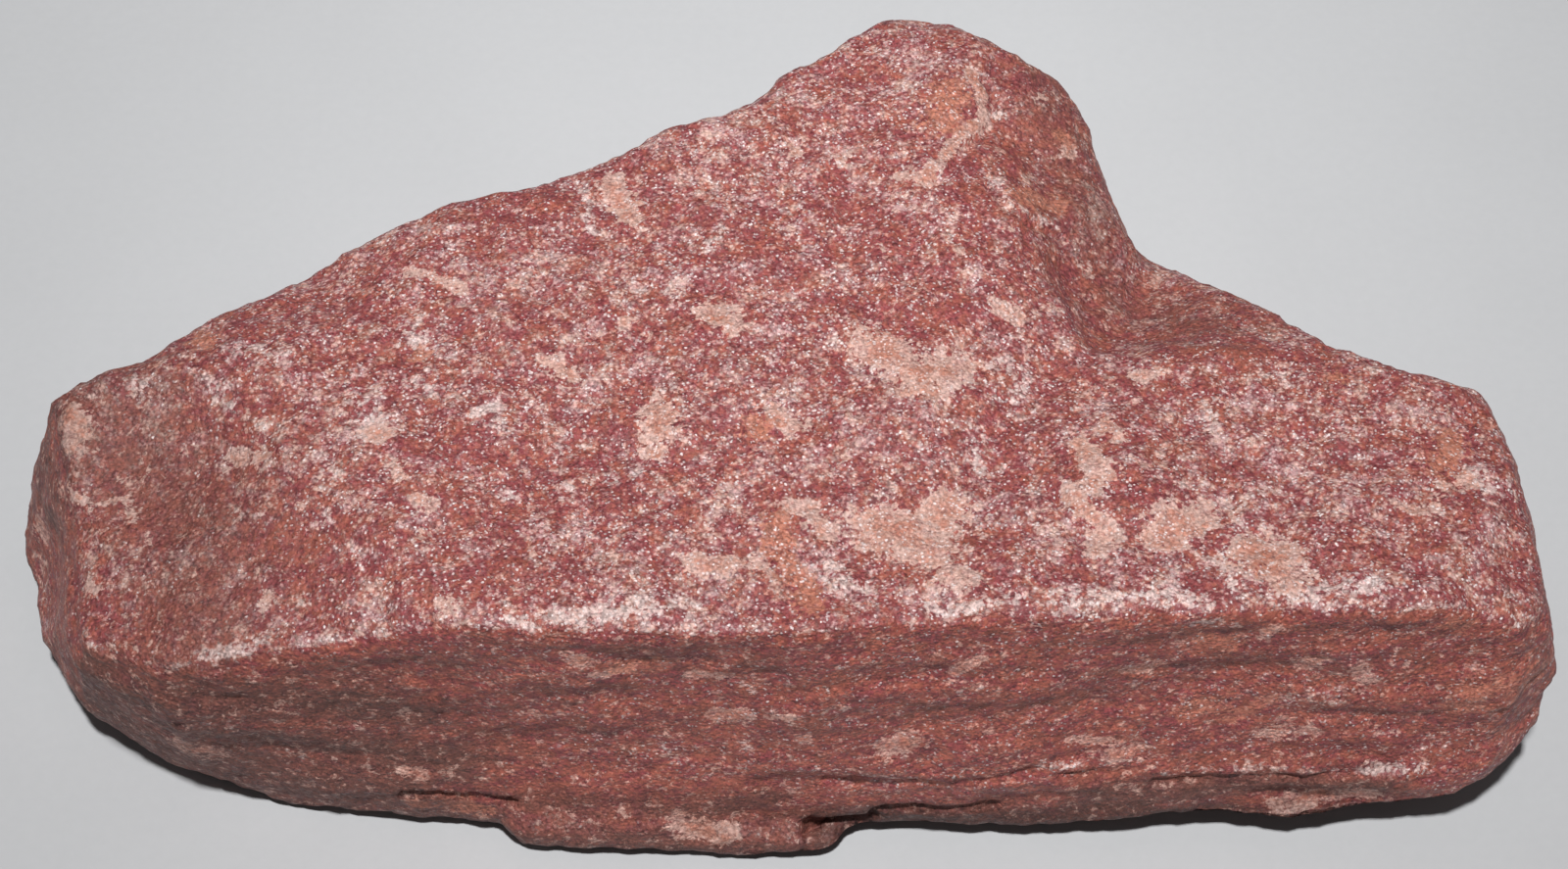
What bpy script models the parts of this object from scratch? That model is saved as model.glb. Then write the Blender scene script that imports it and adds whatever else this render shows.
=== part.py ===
"""Red quartzite: one hand-sized stone, broken from a bed of layered rock.

The stone is one piece. It is modelled as rock breaks: blocks of rough stone are cut along
flat natural breaks, joined into one lump with the thin bed layers that stick out at its
foot, and then weathered with flake scars, bed ledges, bumps and grain.

Sizes below are in millimetres. +X runs along the stone, to the right as it is usually seen,
+Y runs to its back and +Z is up. A break's heading is the way that its face looks, in
degrees clockwise from +Y, seen from above: 0 is the back, 90 the right end, 180 the front
and 270 the left end. Its tilt is how far the face looks up, in degrees: 90 is a level top,
0 an upright wall, and less than 0 an overhang.
"""

import math

import bmesh
import bpy
import numpy as np
from mathutils import Vector, noise

MM = 0.001

# How far the bed layers fall towards the back, in degrees
BED_DIP = 6.5

# The size of the rough blocks before they are cut, in millimetres
ROUGH_SIZE = 240.0

# How finely the stone is made: the spacing of its even mesh in millimetres, how many
# triangles it keeps, and the angle in degrees past which an edge is drawn sharp
VOXEL = 0.75
MOST_TRIANGLES = 9600
SHARP_ANGLE = 50

STONE_COLOUR = (0.36, 0.13, 0.11, 1.0)
STONE_ROUGHNESS = 0.62

# The wedge: the broad lump with the front and the upper bed face
WEDGE_BREAKS = [
    # name, a point on the break (x, y, z), heading, tilt
    ("upper bed face", (0.0, -28.0, 29.4), 0, 90 - BED_DIP),
    ("left bed slope", (-42.4, -5.5, 26.0), 246, 69.5),
    ("back left slope", (-28.0, 14.5, 22.8), 330, 66),
    ("back left wall", (-36.6, 10.6, 23.0), 326, 6),
    ("back middle wall", (-17.8, 19.4, 22.7), 335, 8),
    ("left end", (-53.2, -15.0, 20.5), 258, 22),
    ("left end limit", (-59.6, -5.0, 9.0), 262, 0),
    ("left end foot", (-55.7, -18.2, 8.0), 238, 3),
    ("front left corner", (-48.4, -24.3, 7.0), 205, -3),
    ("front left wall", (-38.0, -27.0, 6.0), 186, -1),
    ("front wall", (3.5, -28.2, 18.0), 182, 0),
    ("front right wall", (5.0, -28.2, 18.0), 174, 3),
    ("front left chip", (-41.0, -27.0, 24.6), 196, 38),
    ("right edge", (15.5, 12.0, 24.9), 79, 74),
    ("right flank", (19.5, 12.0, 24.4), 79, 48),
    ("right flank foot", (26.5, 19.5, 16.5), 70, 12),
    ("inner right wall", (36.0, -20.0, 15.0), 100, 0),
    ("inner back wall", (5.0, 27.0, 15.0), 20, 0),
]

# The left knob: the corner of the left end that stands out behind
LEFT_KNOB_BREAKS = [
    ("knob bed slope", (-42.4, -5.5, 25.9), 246, 69.5),
    ("knob top", (-54.0, 0.0, 20.4), 330, 58),
    ("knob back wall", (-53.0, 0.7, 18.0), 354, 8),
    ("knob corner", (-59.2, -0.3, 15.0), 312, 20),
    ("knob left end", (-53.1, -15.0, 20.5), 258, 22),
    ("knob left end limit", (-59.5, -5.0, 9.0), 262, 0),
    ("knob front limit", (-50.0, -14.0, 10.0), 180, 0),
    ("knob right limit", (-42.0, -5.0, 10.0), 60, 0),
]

# The peak: the high knob at the back
PEAK_BREAKS = [
    ("peak bed face", (8.0, 0.0, 26.4), 2, 90 - BED_DIP),
    ("peak left wall", (2.0, 31.6, 22.0), 320, 10),
    ("peak back slope", (12.0, 36.2, 21.2), 6, 45),
    ("peak back wall", (13.0, 37.0, 19.5), 10, -6),
    ("peak right corner", (18.8, 34.2, 19.5), 31, 24),
    ("peak right wall", (25.6, 26.5, 17.0), 68, 14),
    ("peak right edge", (14.0, 22.0, 24.0), 79, 70),
    ("peak right foot", (26.9, 19.5, 16.5), 77, 12),
    ("peak right flank", (20.6, 22.0, 23.0), 79, 46),
    ("peak front limit", (0.0, -10.0, 15.0), 180, 0),
    ("peak left limit", (-9.0, 24.4, 15.0), 292, 0),
]

# The ramp: the dark slope behind the shoulder, down to the notch beside the peak
RAMP_BREAKS = [
    ("ramp slope", (24.3, -4.0, 25.9), 357, 61),
    ("ramp bed face", (22.0, -27.0, 29.0), 8, 79.5),
    ("ramp back wall", (38.2, 8.0, 19.0), 43, 8),
    ("ramp left limit", (12.0, 0.0, 15.0), 270, 0),
    ("ramp front limit", (30.0, -12.0, 15.0), 180, 0),
    ("ramp right limit", (52.0, -6.0, 15.0), 90, 0),
]

# The shoulder: the lower lump at the right, with its own bed face
SHOULDER_BREAKS = [
    ("shoulder bed face", (22.0, -27.0, 29.1), 8, 79.5),
    ("shoulder back slope", (24.3, -4.0, 26.0), 357, 61),
    ("shoulder back wall", (50.0, -1.1, 23.0), 12, 10),
    ("back right corner", (57.0, -1.7, 21.0), 40, 20),
    ("upper right end", (55.9, -6.0, 18.8), 76, 20),
    ("right end", (58.4, -13.9, 12.0), 88, 16),
    ("right end limit", (57.7, -14.0, 8.0), 90, -5),
    ("front right corner", (56.8, -23.7, 7.0), 138, 5),
    ("shoulder front wall", (40.0, -26.2, 18.0), 177, 6),
    ("right end top", (51.0, -20.0, 26.2), 95, 62),
    ("inner left wall", (12.0, -10.0, 15.0), 270, 0),
]

# Breaks that cut the whole underside, so that it rises from the spot that the stone rests on
UNDERSIDE_BREAKS = [
    ("left underside", (-28.0, -10.0, 0.0), 262, -75),
    ("right underside", (44.0, -8.0, 0.0), 92, -64),
    ("back underside", (0.0, 12.0, 0.0), 5, -72),
    ("front underside", (0.0, -26.7, 0.0), 180, -45),
    ("back left underside", (-20.0, 2.0, 0.0), 325, -72),
    ("back right underside", (32.0, -2.0, 0.0), 48, -70),
]

# The foot: the lowest bed layer, as an outline (x, y) with its bottom and top
FOOT_OUTLINE = [
    (-59.4, -5), (-57.9, -12), (-55.6, -18.2), (-51.6, -22.2), (-46, -25.1), (-41, -26.7),
    (-35, -27.4), (-28, -28.0), (-20, -28.3), (-8, -28.5), (1, -28.5), (6, -28.5), (16, -28.2),
    (28, -28.0), (36, -27.7), (47, -27.9), (52, -27.2), (55.8, -25.0), (57.4, -19), (57.0, -11),
    (54.0, -4), (45, 1.0), (34, 10), (27.0, 15), (25.0, 25), (22, 31), (14, 35.4), (9, 35),
    (1, 29), (-6, 24), (-20, 17), (-36, 8.5), (-48, 0.8), (-57, -0.4),
]
FOOT_BOTTOM, FOOT_TOP = -3.0, 8.8

# Each block's underside is raised by this share of its own bottom height, so that no two
# blocks have a face in the same plane
LIFT_SHARE = 0.05

# Thin sheets that stick out below: name, outline (x, y), bottom, top
SHEETS = [
    ("front sheet", [(-22, -24), (-20.8, -29.9), (-14, -29.7), (-9, -29.6), (-7, -24)], 0.5, 4.0),
    ("middle sheet", [(-9, -24), (-8.2, -29.8), (-2, -30.3), (4.4, -30.0), (5.6, -24)], 0.4, 3.0),
    ("left sheet", [(-33, -23), (-30.5, -27.5), (-24, -28.2), (-19, -27.6), (-18, -23)], 2.6, 5.0),
    ("right sheet", [(31, -23), (34.0, -28.0), (39, -29.2), (44, -28.0), (49, -22)], 0.6, 4.0),
    ("back sheet", [(-30, 6), (-25, 15.6), (-10, 23.6), (0, 30), (8, 28), (-6, 8)], 11.2, 14.5),
]

# Flake scars, or bumps where the depth is less than 0: name, centre (x, y, z), radius, depth
SCARS = [
    ("left hollow", (-45.0, -8.5, 25.5), 8.5, 1.5),
    ("left nick", (-49.5, 2.2, 20.5), 5.5, 1.0),
    ("back left bump", (-30.0, 14.5, 22.0), 8.0, -0.9),
    ("back dent", (-17.0, 20.5, 22.5), 7.0, 0.9),
    ("back corner dent", (-5.0, 27.5, 22.5), 5.0, 0.7),
    ("valley fill", (24.5, -11.0, 26.0), 8.0, -0.8),
    ("shoulder edge bump", (47.0, -1.0, 23.0), 6.0, -0.6),
    ("peak flake", (18.5, 21.5, 22.5), 7.0, 0.9),
    ("peak edge flake", (21.5, 12.0, 20.5), 6.0, 0.8),
    ("notch hollow", (26.0, 8.0, 19.5), 8.0, 1.1),
    ("front flake", (-6.0, -28.5, 22.0), 9.0, 0.7),
    ("front right flake", (30.0, -26.0, 16.0), 11.0, 0.8),
    ("left end flake", (-57.5, -12.0, 13.0), 5.5, 0.9),
    ("back flake", (-20.0, 20.0, 12.0), 10.0, 1.4),
    ("back left flake", (-42.0, 6.0, 12.0), 8.0, 1.2),
    ("peak back flake", (14.0, 37.0, 9.0), 9.0, 1.3),
    ("shoulder back flake", (40.0, 6.0, 10.0), 9.0, 1.2),
]

# Weathering: how far the surface wanders over each distance, in millimetres, and where in
# the noise it is taken from
SWELL_REACH, SWELL_HEIGHT = 13.0, 0.75
LUMP_REACH, LUMP_HEIGHT, LUMP_MEAN = 5.0, 0.42, 0.5
GRAIN_REACH, GRAIN_HEIGHT = 1.9, 0.16
SWELL_PLACE = Vector((3.1, 0.7, 5.2))
GRAIN_PLACE = Vector((9.4, 2.2, 6.1))

# Bed ledges on the steep walls: the thickness of a layer, how far along it a ledge keeps its
# shape, how far a layer stands out or back, and the share of a layer where it steps to the next
LEDGE_STEP, LEDGE_REACH, LEDGE_HEIGHT = 2.6, 22.0, 0.68
LEDGE_RISE = 0.25
LAYER_SPACING = Vector((0.0, 0.0, 7.3))

# A face whose upward share is past this has no ledges
LEVEL_SHARE = 0.71


def empty_scene():
    for old in list(bpy.data.objects):
        bpy.data.objects.remove(old, do_unlink=True)


def collection(name):
    made = bpy.data.collections.new(name)
    bpy.context.scene.collection.children.link(made)
    return made


def facing(heading, tilt):
    """The way that a break's face looks, as a unit vector."""
    turn, rise = math.radians(heading), math.radians(tilt)
    return Vector((math.sin(turn) * math.cos(rise), math.cos(turn) * math.cos(rise), math.sin(rise)))


def cut(block, breaks, lift=0.0):
    """Cuts a closed bmesh along each break, raised by lift, and keeps what lies behind its face."""
    for _name, point, heading, tilt in breaks:
        everything = block.verts[:] + block.edges[:] + block.faces[:]
        made = bmesh.ops.bisect_plane(
            block,
            geom=everything,
            dist=1e-7,
            plane_co=(Vector(point) + Vector((0.0, 0.0, lift))) * MM,
            plane_no=facing(heading, tilt),
            clear_outer=True,
        )
        rim = [part for part in made["geom_cut"] if isinstance(part, bmesh.types.BMEdge)]
        if rim:
            bmesh.ops.holes_fill(block, edges=rim, sides=0)
    bmesh.ops.recalc_face_normals(block, faces=block.faces[:])


def mesh_object(name, mesh, home):
    made = bpy.data.objects.new(name, mesh)
    home.objects.link(made)
    return made


def broken_block(name, breaks, home, low):
    """A rough block of stone above the height low, cut along its breaks."""
    block = bmesh.new()
    bmesh.ops.create_cube(block, size=ROUGH_SIZE * MM)
    cut(block, [(name + " underside", (0.0, 0.0, low), 0, -90), *breaks])
    cut(block, UNDERSIDE_BREAKS, low * LIFT_SHARE)
    mesh = bpy.data.meshes.new(name)
    block.to_mesh(mesh)
    block.free()
    return mesh_object(name, mesh, home)


def bed_layer(name, outline, low, high, home, breaks=()):
    """A flat layer of rock: its outline as a filled curve, extruded to its thickness."""
    curve = bpy.data.curves.new(name, "CURVE")
    curve.dimensions = "2D"
    curve.fill_mode = "BOTH"
    curve.extrude = (high - low) / 2 * MM
    edge = curve.splines.new("POLY")
    edge.points.add(len(outline) - 1)
    for point, (x, y) in zip(edge.points, outline):
        point.co = (x * MM, y * MM, 0.0, 1.0)
    edge.use_cyclic_u = True
    guide = bpy.data.objects.new(name + " outline", curve)
    home.objects.link(guide)
    guide.location.z = (high + low) / 2 * MM
    bpy.context.view_layer.update()
    graph = bpy.context.evaluated_depsgraph_get()
    mesh = bpy.data.meshes.new_from_object(guide.evaluated_get(graph))
    layer = bmesh.new()
    layer.from_mesh(mesh)
    bmesh.ops.remove_doubles(layer, verts=layer.verts[:], dist=1e-6)
    layer.transform(guide.matrix_world)
    cut(layer, breaks)
    layer.to_mesh(mesh)
    layer.free()
    bpy.data.objects.remove(guide)
    return mesh_object(name, mesh, home)


def evaluated_mesh(made, name):
    """The object's mesh with its modifiers applied."""
    bpy.context.view_layer.update()
    graph = bpy.context.evaluated_depsgraph_get()
    mesh = bpy.data.meshes.new_from_object(made.evaluated_get(graph))
    mesh.name = name
    return mesh


def joined_lump(blocks, home):
    """One closed lump of all the blocks, with its breaks' edges worn round."""
    first, *others = blocks
    for other in others:
        join = first.modifiers.new(other.name, "BOOLEAN")
        join.operation = "UNION"
        join.solver = "EXACT"
        join.object = other
    remesh = first.modifiers.new("even mesh", "REMESH")
    remesh.mode = "VOXEL"
    remesh.voxel_size = VOXEL * MM
    wear = first.modifiers.new("worn edges", "SMOOTH")
    wear.factor = 0.5
    wear.iterations = 3
    return mesh_object("lump", evaluated_mesh(first, "lump"), home)


def bed_height(point):
    """Height above the bed plane, which dips to the back as the upper bed face does."""
    dip = math.radians(BED_DIP)
    return point.z * math.cos(dip) + point.y * math.sin(dip)


def ledges(point, steepness):
    """Steps where the bed layers end at a steep wall: each layer stands out by its own amount."""
    wander = noise.noise(point / LEDGE_REACH) * LEDGE_STEP
    level = (bed_height(point) + wander) / LEDGE_STEP
    layer = math.floor(level)
    share = level - layer
    along = Vector((point.x / LEDGE_REACH, point.y / LEDGE_REACH, 0.0))
    this_layer = noise.noise(along + LAYER_SPACING * layer)
    next_layer = noise.noise(along + LAYER_SPACING * (layer + 1))
    blend = max(0.0, (share - 1 + LEDGE_RISE) / LEDGE_RISE)
    return steepness * LEDGE_HEIGHT * (this_layer + (next_layer - this_layer) * blend)


def weathered(point, normal):
    """Where a point of the lump ends up once it is weathered, in millimetres."""
    swell = noise.noise(point / SWELL_REACH + SWELL_PLACE) * SWELL_HEIGHT
    lump = (noise.turbulence(point / LUMP_REACH, 2, True) - LUMP_MEAN) * LUMP_HEIGHT
    grain = noise.noise(point / GRAIN_REACH + GRAIN_PLACE) * GRAIN_HEIGHT
    steepness = max(0.0, 1.0 - abs(normal.z) / LEVEL_SHARE)
    out = swell + lump + grain + ledges(point, steepness)
    for _name, centre, radius, depth in SCARS:
        reach = (point - Vector(centre)).length / radius
        if reach < 1.0:
            out -= depth * (1.0 - reach * reach)
    return point + normal * out


def weather(lump):
    """Moves every point of the lump's mesh by its weathering."""
    mesh = lump.data
    moved = [weathered(v.co / MM, v.normal) for v in mesh.vertices]
    for vertex, place in zip(mesh.vertices, moved):
        vertex.co = place * MM
    mesh.update()


def finished_stone(lump, home):
    """The stone with few enough faces, its underside cut and its origin under its middle."""
    thin = lump.modifiers.new("fewer faces", "DECIMATE")
    thin.ratio = MOST_TRIANGLES / (2 * len(lump.data.polygons))
    mesh = evaluated_mesh(lump, "red_quartzite")
    stone = bmesh.new()
    stone.from_mesh(mesh)
    cut(stone, [("resting spot", (0.0, 0.0, 0.0), 0, -90)])
    places = np.array([v.co for v in stone.verts])
    low, high = places.min(axis=0), places.max(axis=0)
    middle = Vector(((low[0] + high[0]) / 2, (low[1] + high[1]) / 2, low[2]))
    bmesh.ops.translate(stone, verts=stone.verts[:], vec=-middle)
    bmesh.ops.triangulate(stone, faces=stone.faces[:])
    stone.to_mesh(mesh)
    stone.free()
    mesh.shade_smooth()
    mesh.set_sharp_from_angle(angle=math.radians(SHARP_ANGLE))
    return mesh_object("red_quartzite", mesh, home)


def stone_material():
    material = bpy.data.materials.new("red quartzite")
    material.use_nodes = True
    surface = material.node_tree.nodes["Principled BSDF"]
    surface.inputs["Base Color"].default_value = STONE_COLOUR
    surface.inputs["Roughness"].default_value = STONE_ROUGHNESS
    surface.inputs["Metallic"].default_value = 0.0
    return material


def main():
    empty_scene()
    rough = collection("rough blocks")
    home = collection("red quartzite")
    blocks = [
        broken_block("wedge", WEDGE_BREAKS, rough, 7.8),
        broken_block("left knob", LEFT_KNOB_BREAKS, rough, 7.0),
        broken_block("peak", PEAK_BREAKS, rough, 6.5),
        broken_block("ramp", RAMP_BREAKS, rough, 6.0),
        broken_block("shoulder", SHOULDER_BREAKS, rough, 7.4),
        bed_layer("foot", FOOT_OUTLINE, FOOT_BOTTOM, FOOT_TOP, rough, UNDERSIDE_BREAKS),
    ]
    for name, outline, low, high in SHEETS:
        blocks.append(bed_layer(name, outline, low, high, rough))
    lump = joined_lump(blocks, rough)
    weather(lump)
    for block in [*blocks, lump]:
        block.hide_render = True
        block.display_type = "WIRE"
    stone = finished_stone(lump, home)
    stone.data.materials.append(stone_material())


main()
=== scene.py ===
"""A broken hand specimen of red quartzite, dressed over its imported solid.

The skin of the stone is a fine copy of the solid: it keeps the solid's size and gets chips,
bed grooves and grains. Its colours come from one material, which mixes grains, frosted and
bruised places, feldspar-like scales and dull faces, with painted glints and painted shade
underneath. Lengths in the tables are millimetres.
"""

import math

import bmesh
import bpy
import numpy as np
from bpy.props import FloatProperty, FloatVectorProperty, IntProperty, PointerProperty
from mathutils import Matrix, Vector, noise


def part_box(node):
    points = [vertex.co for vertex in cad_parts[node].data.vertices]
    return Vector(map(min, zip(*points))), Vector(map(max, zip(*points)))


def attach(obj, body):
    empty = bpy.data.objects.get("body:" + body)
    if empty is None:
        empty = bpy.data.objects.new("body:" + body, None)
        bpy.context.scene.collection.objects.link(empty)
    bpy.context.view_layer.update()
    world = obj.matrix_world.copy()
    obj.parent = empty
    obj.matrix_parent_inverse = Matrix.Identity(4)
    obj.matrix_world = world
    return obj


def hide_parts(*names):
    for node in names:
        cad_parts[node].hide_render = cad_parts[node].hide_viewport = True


bl_info = {
    "name": "Red quartzite stone",
    "version": (1, 0, 0),
    "blender": (4, 5, 0),
    "location": "View3D > Sidebar > Stone",
    "description": "Builds a broken piece of red quartzite with its grain, scars and frosted ridge",
    "category": "Object",
}

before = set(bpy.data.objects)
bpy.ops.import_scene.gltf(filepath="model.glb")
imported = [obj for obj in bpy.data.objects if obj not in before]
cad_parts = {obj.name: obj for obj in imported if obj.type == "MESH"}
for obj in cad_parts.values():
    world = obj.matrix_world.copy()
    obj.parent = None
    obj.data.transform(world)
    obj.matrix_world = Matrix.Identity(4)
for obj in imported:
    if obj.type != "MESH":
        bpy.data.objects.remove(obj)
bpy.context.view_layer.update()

MM = 0.001
NODE = "red_quartzite"
SKIN = "quartzite_skin"

# The beds dip to the back by this many degrees, as the upper face of the stone does
BED_DIP = 6.5

# Marks on the upper faces, seen from above: kind, reach, strength, points (x, y)
BED_MARKS = [
    ("peach", 1.4, 1.0, [(-53, -8), (-52.4, -9.5)]),
    ("frost", 1.2, 0.9, [(-49, -5.5), (-47.5, -6.5)]),
    ("peach", 0.8, 0.9, [(-46.5, -4.5)]),
    ("frost", 0.8, 0.75, [(-42.5, -6.5), (-40.5, -9), (-39, -10.5), (-36.5, -13)]),
    ("peach", 0.5, 0.65, [(-54.5, -12), (-51, -15.5), (-48.5, -15)]),
    ("peach", 0.7, 0.75, [(-48, -15.5), (-47.5, -17)]),
    ("peach", 0.8, 0.9, [(-56.5, -11), (-55.5, -12.5)]),
    ("peach", 0.7, 0.9, [(-50.5, -22), (-50, -22.5)]),
    ("peach", 1.0, 0.8, [(-40, -13.5), (-37.5, -14)]),
    ("frost", 1.0, 0.8, [(-39, -18.5), (-37.5, -19.5)]),
    ("peach", 0.7, 0.9, [(-36.5, -26)]),
    ("frost", 1.6, 1.0, [(-30.5, -10.5), (-29.5, -12.5)]),
    ("peach", 1.1, 1.0, [(-29, -13)]),
    ("frost", 1.5, 1.0, [(-21.5, -10.5), (-20.5, -11)]),
    ("frost", 1.1, 0.9, [(-32.5, -15), (-32, -16.5)]),
    ("frost", 0.9, 0.9, [(-32.5, -20)]),
    ("frost", 0.8, 1.0, [(-33, -26.5)]),
    ("peach", 1.0, 1.0, [(-23, -29)]),
    ("peach", 0.8, 0.9, [(-24.5, -20), (-25.5, -19.5)]),
    ("peach", 0.7, 0.9, [(-25, -22.5)]),
    ("peach", 0.6, 0.8, [(-27.5, -16), (-27, -17.5)]),
    ("frost", 0.8, 1.0, [(-41.5, -30), (-38.5, -29.5), (-36, -29)]),
    ("peach", 1.3, 1.0, [(-12.5, 13.5), (-11, 9.5)]),
    ("frost", 0.6, 1.0, [(-15, 13.5), (-14.5, 11.5), (-14, 8)]),
    ("frost", 1.9, 0.9, [(-27.5, -2), (-26.5, -5), (-25.5, -8)]),
    ("brick", 0.9, 1.0, [(-26.5, -5)]),
    ("frost", 1.0, 0.9, [(-42, -4.5), (-39.5, -4.5), (-36.5, -4.5)]),
    ("frost", 0.8, 0.9, [(-32.5, -4)]),
    ("peach", 0.6, 0.9, [(-28, 4), (-25.5, 3), (-23.5, 1.5)]),
    ("brick", 1.3, 0.9, [(-43.5, -2)]),
    ("peach", 1.0, 0.9, [(-16.5, -6), (-15, -7.5)]),
    ("peach", 0.8, 0.9, [(-11, -2)]),
    ("peach", 1.5, 1.0, [(-8.5, -11), (-8, -13)]),
    ("peach", 1.1, 1.0, [(-8.5, -14.5)]),
    ("frost", 1.0, 0.9, [(-15.5, -14.5), (-14, -14)]),
    ("frost", 0.8, 0.9, [(-7.5, -9)]),
    ("frost", 2.4, 0.6, [(-10, 2), (-7, 0.5)]),
    ("peach", 0.6, 1.0, [(16, 26), (17, 24), (17, 21), (15.5, 19.5), (14, 17), (13, 15), (12, 13.5)]),
    ("peach", 0.6, 0.9, [(12, 13.5), (10, 14)]),
    ("brick", 1.9, 0.9, [(14.5, 23.5), (13.5, 20.5)]),
    ("peach", 0.8, 0.9, [(2, 16.5)]),
    ("peach", 0.7, 0.9, [(5.5, 15.5)]),
    ("frost", 0.9, 0.9, [(11.5, 24)]),
    ("frost", 0.8, 0.9, [(18.5, 22.5)]),
    ("peach", 0.7, 0.9, [(22, 25)]),
    ("brick", 0.9, 1.0, [(23.5, 21.5)]),
    ("peach", 0.8, 1.0, [(24, 20)]),
    ("frost", 0.6, 1.0, [(17.5, 14), (20, 11), (23, 11)]),
    ("brick", 1.4, 1.0, [(20, 13), (22.5, 13.5)]),
    ("peach", 1.4, 1.0, [(-4.5, -1), (-3, -2)]),
    ("brick", 0.6, 0.8, [(-4, -1.5)]),
    ("frost", 0.6, 0.9, [(5, -0.5), (5, -3.5)]),
    ("peach", 2.0, 1.0, [(7.5, -4), (9.5, -5.5), (11.5, -7.5), (13.5, -6)]),
    ("brick", 1.0, 0.9, [(11.5, -7)]),
    ("peach", 1.0, 1.0, [(17.5, 0.5), (18.5, 0)]),
    ("frost", 1.1, 1.0, [(17.5, -5.5), (19, -5.5), (18, -8)]),
    ("frost", 0.7, 0.8, [(10.5, 4)]),
    ("frost", 0.7, 0.8, [(2.5, 6)]),
    ("frost", 0.6, 0.8, [(-5, 5.5), (-3.5, 8.5)]),
    ("peach", 0.7, 0.9, [(25, 8)]),
    ("peach", 0.7, 0.9, [(30.5, 9)]),
    ("frost", 1.1, 1.0, [(15.5, -12), (15.5, -15)]),
    ("peach", 1.0, 1.0, [(0.5, -11), (1.5, -12.5), (2, -12)]),
    ("brick", 1.4, 1.0, [(-1, -12.5)]),
    ("brick", 1.1, 1.0, [(3, -29), (2.5, -27), (1, -25), (0.5, -23), (0.5, -21)]),
    ("peach", 1.0, 0.9, [(1, -20), (3, -20), (4, -22)]),
    ("frost", 1.4, 1.0, [(3.5, -25.5), (4.5, -26), (6.5, -27)]),
    ("peach", 2.2, 1.0, [(8, -21.5), (10, -22), (11.5, -23), (12.5, -20)]),
    ("peach", 1.5, 1.0, [(11.5, -24)]),
    ("peach", 1.1, 1.0, [(12.5, -26), (14.5, -26.5)]),
    ("maroon", 1.3, 1.0, [(9, -20), (10.5, -20.5)]),
    ("maroon", 2.2, 0.8, [(12, -1), (13.5, 0)]),
    ("peach", 1.0, 1.0, [(22, -18), (23, -20), (24.5, -22), (23.5, -23.5)]),
    ("peach", 1.1, 1.0, [(23, -13.5), (24.5, -16.5), (23.5, -17.5)]),
    ("maroon", 1.3, 0.9, [(25.5, -17), (26.5, -19), (27, -21)]),
    ("peach", 0.8, 0.9, [(25, -11), (26, -12.5)]),
    ("peach", 0.8, 0.9, [(27.5, -5.5), (29.5, -5)]),
    ("frost", 1.1, 0.9, [(34, -5.5), (33.5, -8), (33, -11)]),
    ("peach", 1.5, 1.0, [(29, -20.5), (31.5, -20), (28.5, -22)]),
    ("frost", 1.0, 1.0, [(32, -23.5), (33, -25.5), (33.5, -27)]),
    ("peach", 1.9, 1.0, [(34.5, -23.5), (36.5, -23.5), (37, -26)]),
    ("brick", 1.1, 0.9, [(35.5, -24.5)]),
    ("frost", 1.3, 1.0, [(27, -28), (29, -27.5), (31, -28)]),
    ("frost", 2.6, 0.55, [(31, -18.5), (33, -20), (36.5, -18)]),
    ("brick", 1.5, 0.9, [(51, -12), (49.5, -14.5)]),
    ("peach", 0.8, 1.0, [(51, -13)]),
    ("frost", 1.2, 0.9, [(52, -15), (53, -17)]),
    ("peach", 1.0, 0.8, [(49.5, -17), (51.5, -16)]),
    ("frost", 1.2, 1.0, [(36, -27.5), (39.5, -27), (43, -27)]),
    ("peach", 0.9, 0.8, [(46, -19), (48.5, -19)]),
    ("frost", 0.9, 0.8, [(48.5, -25.5)]),
    ("brick", 1.0, 0.9, [(43, -5.5)]),
    ("frost", 0.9, 0.9, [(33, -5.5), (35, -5.5), (38, -5), (40.5, -5.5)]),
    ("maroon", 1.2, 0.8, [(30, -3), (36, -2.5), (42, -3)]),
    ("frost", 0.8, 0.8, [(-19, -19), (-15.5, -18.5), (-12.5, -17.5), (-9.5, -17)]),
    ("frost", 1.0, 0.9, [(-8.5, -17.5)]),
    ("peach", 1.1, 0.9, [(-5.5, -25), (-4.5, -25.5), (-3, -25)]),
    ("peach", 0.8, 0.8, [(-1, -24.5), (0, -25.5)]),
    ("frost", 1.5, 1.0, [(-11.5, -30), (-9.5, -29.5), (-6.5, -29)]),
    ("frost", 1.2, 1.0, [(-18.5, -30.5), (-15.5, -30.5), (-13, -30.5)]),
    ("frost", 1.1, 1.0, [(12, -29), (15, -29), (17, -28.5)]),
    ("frost", 1.2, 1.0, [(20.5, -28.5), (22.5, -28), (24.5, -28)]),
    ("dull", 7.0, 1.0, [(-54, -7), (-48, -12), (-42, -19), (-42, -27)]),
    ("dull", 4.5, 0.8, [(-50, -5), (-46, -8)]),
    ("dull", 5.0, 0.8, [(22, 26), (25, 14), (27, 6), (33, 3)]),
]

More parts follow.
